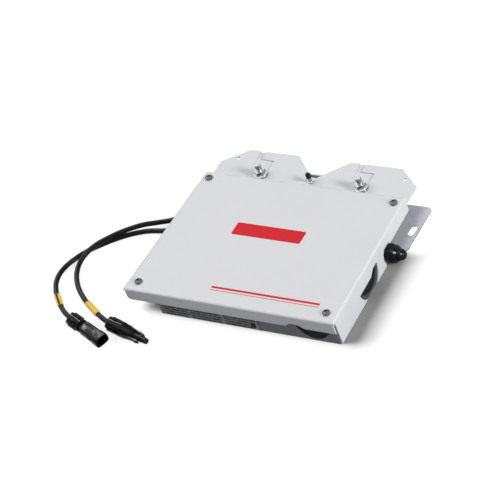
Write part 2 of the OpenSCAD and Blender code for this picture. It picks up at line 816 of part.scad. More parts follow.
module circuit_board() {
    color("darkgreen") difference() {
        translate([board_at.x - board_size.x / 2, board_at.y - board_size.y / 2, board_z]) cube(board_size);
        for (p = board_holes) translate([p.x, p.y, board_z - 1])
            cylinder(r = board_hole_r, h = board_size.z + 2);
    }
}

module board_standoffs() {
    deep = 3.9;
    color("goldenrod") for (p = board_holes) translate([p.x, p.y, tray_t]) difference() {
        hexagon(6, standoff_h);
        translate([0, 0, standoff_h - deep]) cylinder(r = board_screw_r + fit, h = deep + 1);
    }
}

module board_screws() {
    deep = 3.8;
    head_h = 1.8;
    color("silver") for (p = board_holes) translate([p.x, p.y, 0]) {
        translate([0, 0, board_z - deep]) cylinder(r = board_screw_r, h = deep + board_size.z);
        translate([0, 0, board_top_z]) cylinder(r = 2 * board_screw_r, h = head_h);
    }
}

module relays() {
    color("royalblue") for (i = [0:3])
        translate([board_at.x - 10, board_at.y - 34 + i * relay_pitch, board_top_z]) cube(relay_size);
}

// A row of screw terminals: a stepped housing with wire mouths and screw wells
module terminal_row(ways, pitch, mouth_r, mouth_z) {
    w = ways * pitch;
    well_r = 2.2;
    well_z = 8;
    difference() {
        union() {
            translate([0, -w / 2, 0]) cube([terminal_size.x, w, terminal_ledge.y]);
            translate([terminal_ledge.x, -w / 2, 0])
                cube([terminal_size.x - terminal_ledge.x, w, terminal_size.y]);
        }
        for (i = [0:ways - 1]) translate([0, (i - (ways - 1) / 2) * pitch, 0]) {
            translate([-1, 0, mouth_z]) rotate([0, 90, 0]) cylinder(r = mouth_r, h = 9);
            translate([8, 0, well_z]) cylinder(r = well_r, h = terminal_size.y);
        }
    }
}

module input_terminals() {
    pitch = cable_gland_y[1] - cable_gland_y[0];
    mid = (cable_gland_y[0] + cable_gland_y[1]) / 2;
    color("forestgreen") translate([terminal_x, mid, board_top_z])
        terminal_row(2, pitch, cable_d / 2 + 0.3, cable_gland_z - board_top_z + 1.4);
}

module output_terminals() {
    color("forestgreen") translate([board_at.x + board_size.x / 2 - 2, board_at.y - 14, board_top_z])
        mirror([1, 0, 0]) terminal_row(4, 10, 2.4, 5);
}

module capacitors() {
    color("midnightblue") for (i = [0:1]) translate([board_at.x - 30, board_at.y - 40 + i * 18, board_top_z])
        cylinder(r = capacitor_r, h = capacitor_h);
}

module supply_module() {
    color("black") translate([board_at.x + 26, board_at.y + 12, board_top_z]) cube([30, 42, 15]);
}

// The two cables inside the housing, from the middle of their glands to the terminals
module inner_leads() {
    from_x = -left_wall_x + outer_points[0].x + 0.3;
    color("black") for (y = cable_gland_y) translate([from_x, y, cable_gland_z]) rotate([0, 90, 0])
        cylinder(r = cable_d / 2, h = terminal_x - from_x);
}

function unit(v) = v / norm(v);
function heading(route, i) = unit(route[min(i + 1, len(route) - 1)] - route[max(i - 1, 0)]);
function ring_point(route, i, r, a) =
    let (d = heading(route, i), side = unit(cross(d, [0, 0, 1])), up = cross(side, d))
    route[i] + r * cos(a) * side + r * sin(a) * up;

// A round tube swept along the points of a route
module swept(route, r, sides) {
    n = len(route);
    points = [for (i = [0:n - 1], k = [0:sides - 1]) ring_point(route, i, r, k * 360 / sides)];
    walls = [for (i = [0:n - 2], k = [0:sides - 1])
        let (a = i * sides + k, b = i * sides + (k + 1) % sides)
        each [[a, a + sides, b], [b, a + sides, b + sides]]];
    start = [for (k = [0:sides - 1]) k];
    end = [for (k = [sides - 1:-1:0]) (n - 1) * sides + k];
    polyhedron(points, concat(walls, [start, end]));
}

module outer_cable() {
    color("black") swept(outer_route, cable_d / 2, 10);
}

module inner_cable() {
    color("black") swept(inner_route, cable_d / 2, 10);
}

// Printed sleeve closed round one straight stretch of a cable
module marker(route, span) {
    a = route[span[0]];
    d = route[span[1]] - a;
    from = 1;
    translate(a) rotate([0, acos(d.z / norm(d)), atan2(d.y, d.x)]) translate([0, 0, from])
        tube(cable_d / 2 + sleeve_t, cable_d / 2 + snug, norm(d) - 2 * from);
}

module outer_marker() {
    color("gold") marker(outer_route, outer_sleeve);
}

module inner_marker() {
    color("gold") marker(inner_route, inner_sleeve);
}

// Ribbed coupling nut behind a connector's body
module coupling_nut() {
    cone_h = 4;
    rib = [2.2, 2.8, coupling_h - cone_h + 0.6];
    difference() {
        union() {
            cylinder(r1 = seat_r, r2 = coupling_r, h = cone_h);
            translate([0, 0, cone_h]) cylinder(r = coupling_r, h = coupling_h - cone_h);
            for (a = [22.5:45:359]) rotate(a)
                translate([coupling_rib_r - rib.x, -rib.y / 2, coupling_h - rib.z]) cube(rib);
        }
        translate([0, 0, -1]) cylinder(r = cable_bore_r, h = coupling_h + 2);
        translate([0, 0, coupling_seat]) cylinder(r = seat_r + fit, h = coupling_h);
    }
}

// The end of a body that stands in the coupling nut, up to a collar against the nut's face
module seat(collar_r, collar_h) {
    from = coupling_seat + 1;
    translate([0, 0, from]) cylinder(r = seat_r, h = coupling_h + 2 - from);
    translate([0, 0, coupling_h]) cylinder(r = collar_r, h = collar_h);
}

// Bore of a body: seal pocket, cable, and contact up to a given place
module seat_bore(contact_to) {
    pocket_to = 16;
    translate([0, 0, coupling_seat]) cylinder(r = cable_bore_r + 1.1, h = pocket_to - coupling_seat);
    translate([0, 0, pocket_to - 1]) cylinder(r = cable_bore_r, h = crimp_from + 1 - pocket_to);
    translate([0, 0, crimp_from - 1]) cylinder(r = contact_r + snug, h = contact_to - crimp_from + 2);
}

module cable_seal() {
    from = 9.2;
    translate([0, 0, from]) tube(cable_bore_r + 1.05, cable_bore_r, 5.6);
}

module socket_nut() {
    color("black") on_connector(socket_at) coupling_nut();
}

// Housing with a flat waist, a latch window in each side and a wide rounded mouth
module socket_body() {
    waist = [25, 31];
    mouth_from = 57;
    cavity_from = 44;
    window = [46, 54];
    color("black") on_connector(socket_at) difference() {
        union() {
            seat(8.2, waist[0] - coupling_h);
            translate([0, 0, waist[0] - eps]) linear_extrude(waist[1] - waist[0] + 2 * eps)
                soft_rectangle(12.5, 10.5, 3);
            translate([0, 0, waist[1]]) linear_extrude(mouth_from - waist[1] + eps)
                soft_rectangle(16.6, 11.8, 3.2);
            translate([0, 0, mouth_from]) linear_extrude(socket_length - mouth_from)
                soft_rectangle(18.2, 13, 4);
        }
        seat_bore(cavity_from);
        translate([0, 0, cavity_from]) linear_extrude(big / 4) soft_rectangle(14.6, 9, 3);
        translate([-10, -2.8, window[0]]) cube([20, 5.6, window[1] - window[0]]);
        translate([0, 5.9, 40]) cube([8, 1.2, 24], center = true);
    }
}

module socket_seal() {
    color("dimgray") on_connector(socket_at) cable_seal();
}

module socket_contact() {
    color("silver") on_connector(socket_at) {
        translate([0, 0, crimp_from]) cylinder(r = contact_r, h = 32);
        translate([0, 0, crimp_from + 32]) cylinder(r1 = contact_r, r2 = 1, h = 3);
    }
}

module plug_nut() {
    color("black") on_connector(plug_at) coupling_nut();
}

// Housing that steps down to a round nose between two latch arms
module plug_body() {
    shoulder_to = 27;
    neck_from = 33;
    nose_from = 45;
    tip_from = 60;
    shoulder_r = 9.4;
    neck_r = 8.6;
    color("black") on_connector(plug_at) difference() {
        union() {
            seat(shoulder_r, shoulder_to - coupling_h);
            translate([0, 0, shoulder_to])
                cylinder(r1 = shoulder_r, r2 = neck_r, h = neck_from - shoulder_to);
            translate([0, 0, neck_from]) cylinder(r1 = neck_r, r2 = 6.6, h = nose_from - neck_from);
            translate([0, 0, nose_from]) cylinder(r = 5.4, h = 2);
            translate([0, 0, nose_from]) cylinder(r = 4.3, h = tip_from - nose_from);
            translate([0, 0, tip_from]) cylinder(r = 3.7, h = plug_length - tip_from);
            for (s = [0, 1]) mirror([s, 0, 0]) latch_arm();
        }
        seat_bore(plug_length);
    }
}

// Springy arm beside the nose, with a hook that locks into a socket's window
module latch_arm() {
    wide = 5;
    rotate([90, 0, 0]) linear_extrude(wide, center = true) polygon([[5.5, 24], [8.6, 24], [8.8, 34],
        [7.6, 40], [6.7, 50], [7.4, 51.5], [7.4, 53.5], [6.2, 58.5], [5.2, 58.5], [5.6, 40]]);
}

module plug_seal() {
    color("dimgray") on_connector(plug_at) cable_seal();
}

module plug_contact() {
    color("silver") on_connector(plug_at) translate([0, 0, crimp_from])
        tube(contact_r, contact_r - 0.95, plug_length - 1.5 - crimp_from);
}

cover();
cover_screws();
cover_washers();
cover_spacers();
rivet_nuts();
cover_gasket();
rim_frame();
base_tray();
front_grommet();
side_grommet();
hanger_plate();
hanger_rivets();
rail_bracket();
hanging_studs();
stud_washers();
stud_nuts();
earth_stud();
earth_cap();
gland_seal_ring();
gland_body();
gland_cone();
gland_nut();
gland_plug();
gland_locknut();
cable_gland_bodies();
cable_gland_nuts();
cable_gland_seals();
cable_gland_locknuts();
circuit_board();
board_standoffs();
board_screws();
relays();
input_terminals();
output_terminals();
capacitors();
supply_module();
inner_leads();
outer_cable();
inner_cable();
outer_marker();
inner_marker();
socket_body();
socket_nut();
socket_seal();
socket_contact();
plug_body();
plug_nut();
plug_seal();
plug_contact();
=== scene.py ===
import json
import math

import bmesh
import bpy
from mathutils import Euler, Matrix, Vector


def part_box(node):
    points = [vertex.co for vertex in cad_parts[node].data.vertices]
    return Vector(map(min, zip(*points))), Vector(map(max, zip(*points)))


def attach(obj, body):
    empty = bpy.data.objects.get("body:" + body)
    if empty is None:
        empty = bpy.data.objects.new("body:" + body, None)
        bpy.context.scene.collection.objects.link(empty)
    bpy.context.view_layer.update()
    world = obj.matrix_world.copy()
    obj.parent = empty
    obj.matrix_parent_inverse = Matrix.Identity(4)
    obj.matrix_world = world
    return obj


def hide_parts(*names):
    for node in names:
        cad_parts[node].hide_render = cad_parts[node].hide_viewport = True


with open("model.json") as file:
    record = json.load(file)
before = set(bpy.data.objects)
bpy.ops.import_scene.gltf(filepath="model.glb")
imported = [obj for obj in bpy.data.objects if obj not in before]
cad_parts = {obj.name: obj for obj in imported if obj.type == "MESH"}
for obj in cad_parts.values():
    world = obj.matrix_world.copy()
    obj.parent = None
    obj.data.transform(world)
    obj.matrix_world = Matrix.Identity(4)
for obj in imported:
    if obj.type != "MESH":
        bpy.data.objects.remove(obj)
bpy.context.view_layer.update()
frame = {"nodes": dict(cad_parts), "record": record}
scene = bpy.context.scene
mm = 0.001
nodeObjects = frame["nodes"]
print("frame loaded:", len(nodeObjects), "nodes")


# camera: a long lens from the lower right, rolled as the box was photographed
view = {
    "place": (1.4522, -1.5386, 1.8255),
    "turn": (47.39, 17.435, 28.472),   # degrees, XYZ
    "lens": 169.4,
    "farthest": 20,
}
cameraData = bpy.data.cameras.new("camera")
cameraData.lens = view["lens"]
cameraData.clip_end = view["farthest"]
camera = bpy.data.objects.new("camera", cameraData)
camera.location = view["place"]
camera.rotation_euler = Euler([math.radians(a) for a in view["turn"]], "XYZ")
scene.collection.objects.link(camera)
scene.camera = camera
scene.view_settings.view_transform = "Standard"
print("camera set")


# a thin wrapper round a shader socket, so that masks can be written as sums
class Wire:
    def __init__(self, tree, socket=None):
        self.tree = tree
        self.socket = socket

    # adds any node: its settings come first, then the values or links of its sockets
    def node(self, kind, settings=None, values=None, out=0):
        made = self.tree.nodes.new(kind)
        for name, value in (settings or {}).items():
            setattr(made, name, value)
        for name, value in (values or {}).items():
            if isinstance(value, Wire):
                self.tree.links.new(value.socket, made.inputs[name])
            else:
                made.inputs[name].default_value = value
        return Wire(self.tree, made.outputs[out])

    # another output of the same node
    def output(self, name):
        return Wire(self.tree, self.socket.node.outputs[name])

    def maths(self, operation, *terms):
        return self.node("ShaderNodeMath", {"operation": operation}, dict(enumerate(terms)))

    def __add__(self, other):
        return self.maths("ADD", self, other)

    def __sub__(self, other):
        return self.maths("SUBTRACT", self, other)

    def __rsub__(self, other):
        return self.maths("SUBTRACT", other, self)

    def __mul__(self, other):
        return self.maths("MULTIPLY", self, other)

    def __truediv__(self, other):
        return self.maths("DIVIDE", self, other)

    def __rtruediv__(self, other):
        return self.maths("DIVIDE", other, self)

    __radd__ = __add__
    __rmul__ = __mul__

    def floor(self):
        return self.maths("FLOOR", self)

    def fract(self):
        return self.maths("FRACT", self)

    def larger(self, other):
        return self.maths("MAXIMUM", self, other)

    # masks that pass from 0 to 1 within soft of a level
    def above(self, level, soft):
        values = {"Value": self, "From Min": level - soft, "From Max": level + soft}
        return self.node("ShaderNodeMapRange", {}, values)

    def below(self, level, soft):
        return self.above(level, -soft)

    def within(self, limits, soft):
        return self.above(limits[0], soft) * self.below(limits[1], soft)


def grey(level):
    return (level, level, level)


def tinted(color, share, lift=0.0):
    return [min(c * share + lift, 1) for c in color]


# a factor and two colours, each as numbers or as a wire, and at least one as a wire; on the Mix
# node 0, 6 and 7 are their sockets, and 2 is the colour that comes out
def mixColor(factor, first, second, blend="MIX"):
    maker = next(v for v in (factor, first, second) if isinstance(v, Wire))
    first, second = (c if isinstance(c, Wire) else (*c, 1) for c in (first, second))
    settings = {"data_type": "RGBA", "blend_type": blend}
    return maker.node("ShaderNodeMix", settings, {0: factor, 6: first, 7: second}, out=2)


def noise(place, scale, detail):
    values = {"Vector": place, "Scale": scale, "Detail": detail}
    return place.node("ShaderNodeTexNoise", {}, values)


def stretched(place, scale):
    return place.node("ShaderNodeMapping", {}, {"Vector": place, "Scale": scale})


def coordinate(vector, axis):
    return vector.node("ShaderNodeSeparateXYZ", {}, {"Vector": vector}, out=axis)


def surfaceNormal(place):
    return place.node("ShaderNodeNewGeometry", out="Normal")


# softened edges, and the slope at which an edge counts as one
edges = {"samples": 4, "mask": (0.93, 0.06)}


# softens sharp CAD edges in the shading; the radius is in mm
def rounded(place, radius):
    return place.node("ShaderNodeBevel", {"samples": edges["samples"]}, {"Radius": radius * mm})


# relief from a height between 0 and 1; the depth is in mm
def bump(height, depth, strength=0.5, normal=None):
    values = {"Height": height, "Distance": depth * mm, "Strength": strength}
    if normal is not None:
        values["Normal"] = normal
    return height.node("ShaderNodeBump", {}, values)


# a mask that is 1 on sharp edges, which the finishes paint paler as a painted highlight
def edgeMask(place, radius):
    values = {0: rounded(place, radius), 1: surfaceNormal(place)}
    same = place.node("ShaderNodeVectorMath", {"operation": "DOT_PRODUCT"}, values, out="Value")
    return same.below(*edges["mask"])


def startMaterial(name, constants):
    material = bpy.data.materials.new(name)
    material.use_nodes = True
    shader = material.node_tree.nodes["Principled BSDF"]
    for socketName, value in constants.items():
        shader.inputs[socketName].default_value = value
    return material, shader


# a material, its shader, and the place on the surface in metres
def startFinish(name, specular, metallic=0.0):
    material, shader = startMaterial(name, {"Specular IOR Level": specular, "Metallic": metallic})
    return material, shader, Wire(material.node_tree).node("ShaderNodeTexCoord", out="Object")


def feed(shader, socketName, wire):
    wire.tree.links.new(wire.socket, shader.inputs[socketName])


# in each finish below, a noise is its scale and detail, a mask is its level and softness, a
# depth, radius or rounding is in mm, and a tint is a share of the finish's own colour

# satin powder coat: a fine peel, faint clouds and slightly paler edges, a painted highlight
coat = {
    "specular": 0.18,
    "peel": (900, 2),
    "peelDepth": 0.03,
    "cloud": (14, 3),
    "cloudMask": (0.5, 0.25),
    "cloudTint": 0.975,
    "edgeRadius": 0.6,
    "edgeShare": 0.25,
    "paintedEdgeHighlight": 1.06,
    "roughness": 0.45,
    "fine": (220, 3),
    "roughFine": 0.1,
    "roughCloud": 0.05,
    "rounding": 0.5,
}


def powderCoat(name, color):
    material, shader, place = startFinish(name, coat["specular"])
    peel, cloud, fine = (noise(place, *coat[n]) for n in ("peel", "cloud", "fine"))
    # painted highlight: sharp edges are paler
    edge = edgeMask(place, coat["edgeRadius"]) * coat["edgeShare"]
    tone = mixColor(cloud.above(*coat["cloudMask"]), color, tinted(color, coat["cloudTint"]))
    feed(shader, "Base Color", mixColor(edge, tone, tinted(color, coat["paintedEdgeHighlight"])))
    uneven = fine * coat["roughFine"] + cloud * coat["roughCloud"]
    feed(shader, "Roughness", coat["roughness"] + uneven)
    feed(shader, "Normal", bump(peel, coat["peelDepth"], normal=rounded(place, coat["rounding"])))
    return material


# dull zinc with a spangle; faces that look up are painted paler and the others darker, as painted
# light and shade
zinc = {
    "specular": 0.2,
    "metallic": 0.05,
    "paintedTopLightMask": (0.5, 0.3),
    "spangleScale": 170,
    "spangleDark": 0.86,
    "spangleShare": 0.7,
    "cloud": (35, 4),
    "cloudShare": 0.3,
    "roughness": 0.44,
    "roughSpangle": 0.14,
    "roughCloud": 0.1,
    "grain": (700, 3),
    "grainDepth": 0.02,
    "rounding": 0.4,
}


def galvanised(name, color, paintedTopLight):
    material, shader, place = startFinish(name, zinc["specular"], zinc["metallic"])
    values = {"Vector": place, "Scale": zinc["spangleScale"]}
    cells = place.node("ShaderNodeTexVoronoi", {}, values, out="Color")
    spangle = place.node("ShaderNodeSeparateColor", {}, {"Color": cells}, out="Red")
    cloud, grain = (noise(place, *zinc[n]) for n in ("cloud", "grain"))
    # painted light and shade: faces that look up take the pale colour, the others the dark one
    upward = coordinate(surfaceNormal(place), "Z").above(*zinc["paintedTopLightMask"])
    pattern = spangle * zinc["spangleShare"] + cloud * zinc["cloudShare"]
    shade = mixColor(pattern, grey(zinc["spangleDark"]), grey(1))
    tone = mixColor(1.0, mixColor(upward, color, paintedTopLight), shade, "MULTIPLY")
    feed(shader, "Base Color", tone)
    uneven = spangle * zinc["roughSpangle"] + cloud * zinc["roughCloud"]
    feed(shader, "Roughness", zinc["roughness"] + uneven)
    feed(shader, "Normal", bump(grain, zinc["grainDepth"], normal=rounded(place, zinc["rounding"])))
    return material


# turned or plated metal: fine rings, random darker clouds, flanks darkened as painted shade and
# edges brightened as a painted highlight
plating = {
    "specular": 0.5,
    "ringStretch": (300, 300, 2600),
    "rings": (1, 3),
    "ringDepth": 0.015,
    "flankMask": (0.35, 0.5),
    "paintedFlankShade": 0.5,
    "cloud": (260, 3),
    "cloudMask": (0.5, 0.3),
    "cloudShare": 0.3,
    "cloudTint": 0.6,
    "edgeRadius": 0.25,
    "edgeShare": 0.5,
    "paintedEdgeHighlight": 1.3,
    "roughDrop": 0.05,
    "roughCloud": 0.16,
}


def platedSteel(name, color, roughness, metallic=1.0):
    material, shader, place = startFinish(name, plating["specular"], metallic)
    cloud = noise(place, *plating["cloud"])
    # painted shade: faces that look aside or down are darker
    upward = coordinate(surfaceNormal(place), "Z").above(*plating["flankMask"])
    tone = mixColor(upward, tinted(color, plating["paintedFlankShade"]), color)
    dull = cloud.above(*plating["cloudMask"]) * plating["cloudShare"]
    tone = mixColor(dull, tone, tinted(color, plating["cloudTint"]))
    # painted highlight: edges are brighter
    edge = edgeMask(place, plating["edgeRadius"]) * plating["edgeShare"]
    feed(shader, "Base Color", mixColor(edge, tone, tinted(color, plating["paintedEdgeHighlight"])))
    uneven = cloud * plating["roughCloud"]
    feed(shader, "Roughness", roughness - plating["roughDrop"] + uneven)
    rings = noise(stretched(place, plating["ringStretch"]), *plating["rings"])
    smooth = rounded(place, plating["edgeRadius"])
    feed(shader, "Normal", bump(rings, plating["ringDepth"], normal=smooth))
    return material


# moulded plastic or rubber; grain and wave are the depths of its fine and its broad relief
mould = {
    "cloud": (90, 3),
    "cloudShare": 0.12,
    "edgeShare": 0.35,
    "paintedEdgeHighlight": 1.6,
    "edgeLift": 0.008,
    "roughDrop": 0.06,
    "roughCloud": 0.14,
    "grainDetail": 2,
    "wave": (70, 1),
    "strength": 0.6,
}


def moulded(name, color, roughness, grain=0.02, scale=1400, radius=0.3, specular=0.5, wave=0.0):
    material, shader, place = startFinish(name, specular)
    cloud = noise(place, *mould["cloud"])
    # painted highlight on the edges, with random paler clouds
    edgeSheenAndScuffs = edgeMask(place, radius) * mould["edgeShare"] + cloud * mould["cloudShare"]
    paler = tinted(color, mould["paintedEdgeHighlight"], mould["edgeLift"])
    feed(shader, "Base Color", mixColor(edgeSheenAndScuffs, color, paler))
    feed(shader, "Roughness", roughness - mould["roughDrop"] + cloud * mould["roughCloud"])
    height = noise(place, scale, mould["grainDetail"])
    if wave:
        height = height + noise(place, *mould["wave"]) * (wave / grain)
    feed(shader, "Normal", bump(height, grain, mould["strength"], rounded(place, radius)))
    return material


# cable sheath: a low sheen with scuffs
sheathing = {
    "specular": 0.11,
    "scuffs": (120, 4),
    "scuffMask": (0.6, 0.1),
    "scuffShare": 0.3,
    "scuffTint": 2.2,
    "scuffRelief": 0.6,
    "roughness": 0.26,
    "roughScuffs": 0.14,
    "grain": (1600, 2),
    "grainDepth": 0.03,
}


def sheath(name, color):
    material, shader, place = startFinish(name, sheathing["specular"])
    scuffs, grain = (noise(place, *sheathing[n]) for n in ("scuffs", "grain"))
    edgeSheenAndScuffs = scuffs.above(*sheathing["scuffMask"]) * sheathing["scuffShare"]
    feed(shader, "Base Color", mixColor(edgeSheenAndScuffs, color, tinted(color, sheathing["scuffTint"])))
    feed(shader, "Roughness", sheathing["roughness"] + scuffs * sheathing["roughScuffs"])
    height = grain + scuffs * sheathing["scuffRelief"]
    feed(shader, "Normal", bump(height, sheathing["grainDepth"]))
    return material


# one finish for each slot of the record
finishes = {
    "white_enamel": powderCoat("whiteEnamel", (0.66, 0.672, 0.69)),
    # dark colour for faces that look aside, painted shade; pale one for faces that look up, painted
    # light
    "galvanised": galvanised("galvanised", (0.175, 0.17, 0.19), paintedTopLight=(0.72, 0.72, 0.8)),
    "dark_steel": platedSteel("darkSteel", (0.12, 0.12, 0.125), roughness=0.42, metallic=0.9),
    "zinc_plate": platedSteel("zincPlate", (0.68, 0.69, 0.71), roughness=0.16),
    "yellow_zinc": platedSteel("yellowZinc", (0.62, 0.5, 0.24), roughness=0.3),
    "black_rubber": moulded("blackRubber", (0.018, 0.018, 0.02),
                            roughness=0.6, grain=0.04, scale=900, specular=0.05),
    "gloss_polyamide": moulded("glossPolyamide", (0.0015, 0.0015, 0.002),
                               roughness=0.08, grain=0.004, scale=900, radius=0.4, specular=0.1),
    "black_polyamide": moulded("blackPolyamide", (0.003, 0.003, 0.0035), roughness=0.11,
                               grain=0.012, scale=1500, radius=0.45, specular=0.05, wave=0.5),
    "cable_sheath": sheath("cableSheath", (0.003, 0.003, 0.0035)),
    "yellow_sleeve": moulded("yellowSleeve", (0.8, 0.47, 0.03),
                             roughness=0.4, grain=0.01, scale=900),
    "board_laminate": moulded("boardLaminate", (0.02, 0.16, 0.06), roughness=0.35, scale=700),
    "brass": platedSteel("turnedBrass", (0.66, 0.49, 0.2), roughness=0.25),
    "relay_case": moulded("relayCase", (0.03, 0.11, 0.35), roughness=0.35),
    "terminal_green": moulded("terminalGreen", (0.03, 0.28, 0.08), roughness=0.42),
    "capacitor_sleeve": moulded("capacitorSleeve", (0.03, 0.035, 0.16),
                                roughness=0.25, grain=0.005),
    "module_resin": moulded("moduleResin", (0.03, 0.03, 0.03),
                            roughness=0.5, grain=0.04, scale=600),
    "tin_plate": platedSteel("tinPlate", (0.74, 0.73, 0.7), roughness=0.3),
}
for entry in frame["record"]["subparts"]:
    part = nodeObjects[entry["node"]]
    part.data.materials.clear()
    part.data.materials.append(finishes[entry["material_slot"]])
print("finishes set:", len(finishes))


# puts a mesh made with bmesh into the scene
def meshObject(name, mesh, material):
    data = bpy.data.meshes.new(name)
    mesh.to_mesh(data)
    mesh.free()
    data.materials.append(material)
    made = bpy.data.objects.new(name, data)
    scene.collection.objects.link(made)
    return made


# a piece of the object, which rides on the one body
def addPiece(name, mesh, finish, smooth=True):
    piece = meshObject(name, mesh, finish)
    for face in piece.data.polygons:
        face.use_smooth = smooth
    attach(piece, "root")
    return piece


# points on a smooth curve through a route in mm; the points are in metres
def smoothRoute(route, steps):
    points = [Vector(p) * mm for p in route]
    ends = [2 * points[0] - points[1]] + points + [2 * points[-1] - points[-2]]
    dense = []
    for i in range(1, len(ends) - 2):
        a, b, c, d = ends[i - 1:i + 3]
        for k in range(steps):
            t = k / steps
            dense.append(0.5 * (2 * b + (c - a) * t + (2 * a - 5 * b + 4 * c - d) * t ** 2
                                + (3 * b - a - 3 * c + d) * t ** 3))
    return dense + [points[-1]]


def pathLength(points):
    return sum((b - a).length for a, b in zip(points, points[1:]))


# a round tube along a path; sides are numbered from the top, so that a stripe can be picked
def tubeMesh(path, radii, sides):
    mesh = bmesh.new()
    rings = []
    for i, point in enumerate(path):
        ahead = (path[min(i + 1, len(path) - 1)] - path[max(i - 1, 0)]).normalized()
        side = ahead.cross(Vector((0, 0, 1))).normalized()
        up = side.cross(ahead)
        ring = []
        for k in range(sides):
            angle = 2 * math.pi * k / sides
            outward = math.cos(angle) * up + math.sin(angle) * side
            ring.append(mesh.verts.new(point + radii[i] * outward))
        rings.append(ring)
    for a, b in zip(rings, rings[1:]):
        for k in range(sides):
            mesh.faces.new((a[k], b[k], b[(k + 1) % sides], a[(k + 1) % sides]))
    mesh.faces.new(rings[0])
    mesh.faces.new(list(reversed(rings[-1])))
    bmesh.ops.recalc_face_normals(mesh, faces=mesh.faces)
    return mesh


# the two solar cables; routes in mm from the left wall and each gland's axis, as in the part's
# source; "turn" is the direction in degrees of the last, straight piece, and "sleeve" gives the
# two route points that the marker sleeve lies between
cables = {
    "diameter": 6.5,
    "wall": -103,
    "steps": 8,
    "sides": 24,
    "inConnector": 22,
    "outer": {
        "gland": 22,
        "route": [
            (-5, 0, 13), (-22, 0, 13), (-37, 0.8, 11.4), (-54, 1.6, 6.5), (-71, 0.6, 3.4),
            (-89, -2.6, 3.3), (-105, -9, 3.3), (-119, -17.4, 3.3), (-131, -26.6, 3.3),
            (-142, -36.6, 3.3), (-153, -48, 3.3), (-162, -61, 3.3), (-169, -77, 3.3),
            (-171, -92, 3.3), (-168, -106, 3.3), (-161.5, -117.5, 3.3), (-154, -126.8, 3.3),
            (-137.5, -143, 3.7), (-129, -150, 5.6), (-119.5, -156.6, 8.2), (-108.6, -162.3, 9.6)],
        "turn": -22,
        "sleeve": (16, 17),
        "stripe": True,
        "connector": ["socket_body", "socket_nut", "socket_seal", "socket_contact"],
    },
    "inner": {
        "gland": 46,
        "route": [
            (-5, 0, 13), (-22, 0, 13), (-37, 0.4, 11.6), (-53, -1.6, 8), (-69, -7.4, 6),
            (-83, -14, 6.6), (-97, -22, 8.6), (-110, -32, 9.9), (-123, -43, 10), (-133, -54, 10),
            (-142, -66, 10), (-149, -79, 8.4), (-152.5, -91, 5.6), (-151.5, -103, 3.7),
            (-144.5, -118, 3.3), (-132, -133.5, 3.3), (-118, -145.8, 3.3), (-105.5, -154.6, 3.3),
            (-78.5, -170.6, 5.4), (-67, -177.2, 8), (-54, -183.1, 9.6)],
        "turn": -15,
        "sleeve": (17, 18),
        "stripe": False,
        "connector": ["plug_body", "plug_nut", "plug_seal", "plug_contact"],
    },
}
# yellow marker sleeves, in mm; the striped one shows the sheath through its uppermost sides
marker = {
    "thickness": 0.8,
    "endGap": 1,
    "chamfer": 0.3,
    "steps": 8,
    "sides": 32,
    "stripeSides": (31, 0, 1),
}


def addSleeve(name, first, last, striped):
    steps, sides = marker["steps"], marker["sides"]
    gap = marker["endGap"] * mm * (last - first).normalized()
    path = [first + gap + (last - first - 2 * gap) * k / steps for k in range(steps + 1)]
    outside = (cables["diameter"] / 2 + marker["thickness"]) * mm
    narrow = outside - marker["chamfer"] * mm
    mesh = tubeMesh(path, [narrow] + [outside] * (steps - 1) + [narrow], sides)
    sleeve = addPiece(name, mesh, finishes["yellow_sleeve"])
    for corner in sleeve.data.vertices:   # flat where it lies on the floor
        corner.co.z = max(corner.co.z, 0)
    if striped:
        sleeve.data.materials.append(finishes["cable_sheath"])
        for face in sleeve.data.polygons:
            onTop = face.index < steps * sides and face.index % sides in marker["stripeSides"]
            face.material_index = 1 if onTop else 0
    return sleeve


def layCable(side):
    facts = cables[side]
    turn = math.radians(facts["turn"])
    route = [(x + cables["wall"], y + facts["gland"], z) for x, y, z in facts["route"]]
    x, y, z = route[-1]
    reach = cables["inConnector"]
    route.append((x + reach * math.cos(turn), y + reach * math.sin(turn), z))
    path = smoothRoute(route, cables["steps"])
    mesh = tubeMesh(path, [cables["diameter"] / 2 * mm] * len(path), cables["sides"])
    cable = addPiece(side + "Cable", mesh, finishes["cable_sheath"])
    first, last = (Vector(route[n]) * mm for n in facts["sleeve"])
    sleeve = addSleeve(side + "Marker", first, last, facts["stripe"])
    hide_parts(side + "_cable")
    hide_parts(side + "_marker")
    connector = [nodeObjects[n] for n in facts["connector"]]
    pathLength(path)
    return cable, sleeve, connector


cablePieces, sleevePieces, connectorPieces = [], [], []
for side in ("outer", "inner"):
    cable, sleeve, connector = layCable(side)
    cablePieces.append(cable)
    sleevePieces.append(sleeve)
    connectorPieces += connector
print("cables laid")


# a sheet with a thickness: its faces, the same faces moved by the step, and the rim between
# them; faces and rim are lists of point numbers
def sheetMesh(points, faces, rim, step):
    mesh = bmesh.new()
    under = [mesh.verts.new(p) for p in points]
    over = [mesh.verts.new(p + step) for p in points]
    for face in faces:
        mesh.faces.new([under[i] for i in face])
        mesh.faces.new([over[i] for i in face])
    for a, b in zip(rim, rim[1:] + rim[:1]):
        mesh.faces.new((under[a], under[b], over[b], over[a]))
    bmesh.ops.recalc_face_normals(mesh, faces=mesh.faces)
    return mesh


# a thin dark sheet on the tray's wall inside the cover's side opening, round the cable entry:
# painted shade that stands in for the shadow there;
# its two edges are half rings, in mm, with their middles at a height above the wall plane
shadeSheet = {
    "wallPoint": (142.03, -17.5),
    "turn": 1.394,
    "thickness": 0.28,
    "inside": {"radius": 23.1, "middle": 26},
    "outside": {"radius": 27.5, "middle": 22},
    "lowest": 0.4,
    "steps": 48,
    "color": (0.075, 0.075, 0.083),
}


